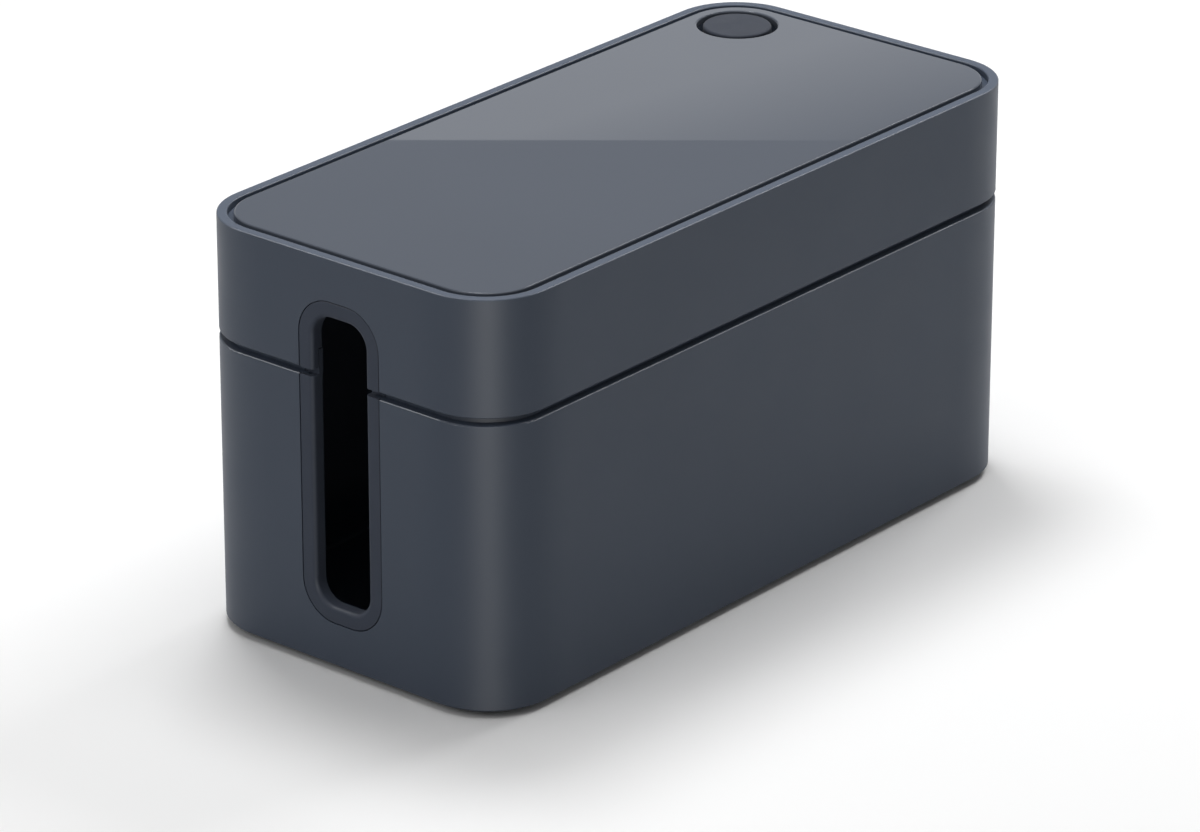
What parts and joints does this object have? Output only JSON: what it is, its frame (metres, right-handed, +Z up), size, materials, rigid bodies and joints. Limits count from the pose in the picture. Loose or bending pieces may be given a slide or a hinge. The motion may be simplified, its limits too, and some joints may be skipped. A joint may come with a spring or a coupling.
{
  "type": "cable management box",
  "caption": "Oblong round-cornered box that hides a power strip and its cords: deep base, lift-off lid with a flush top panel, soft-lined cord slots and a plugged top outlet.",
  "frame": {"origin": "middle of the box on the surface that the feet stand on", "axes": "+X along the box towards its right end, +Y to its back, +Z up"},
  "size_m": [0.246, 0.116, 0.128],
  "materials": {
    "shell": "fine matt texture",
    "panel": "smooth satin gloss",
    "adhesive": "clear film",
    "plug": "soft matt",
    "trim": "soft matt",
    "foot": "matt"
  },
  "bodies": {
    "base": {"base_shell": "shell", "base_slot_trim_left": "trim", "base_slot_trim_right": "trim", "foot_front_left": "foot", "foot_front_right": "foot", "foot_back_left": "foot", "foot_back_right": "foot"},
    "lid": {"lid_shell": "shell", "top_panel": "panel", "panel_adhesive": "adhesive", "lid_slot_trim_left": "trim", "lid_slot_trim_right": "trim"},
    "plug": {"outlet_plug": "plug"}
  },
  "joints": [
    {"name": "lid_lift", "type": "slide", "parent": "base", "child": "lid", "axis": [0, 0, 1], "range_m": [0, 0.15]},
    {"name": "plug_lift", "type": "slide", "parent": "lid", "child": "plug", "axis": [0, 0, 1], "range_m": [0, 0.04]}
  ]
}
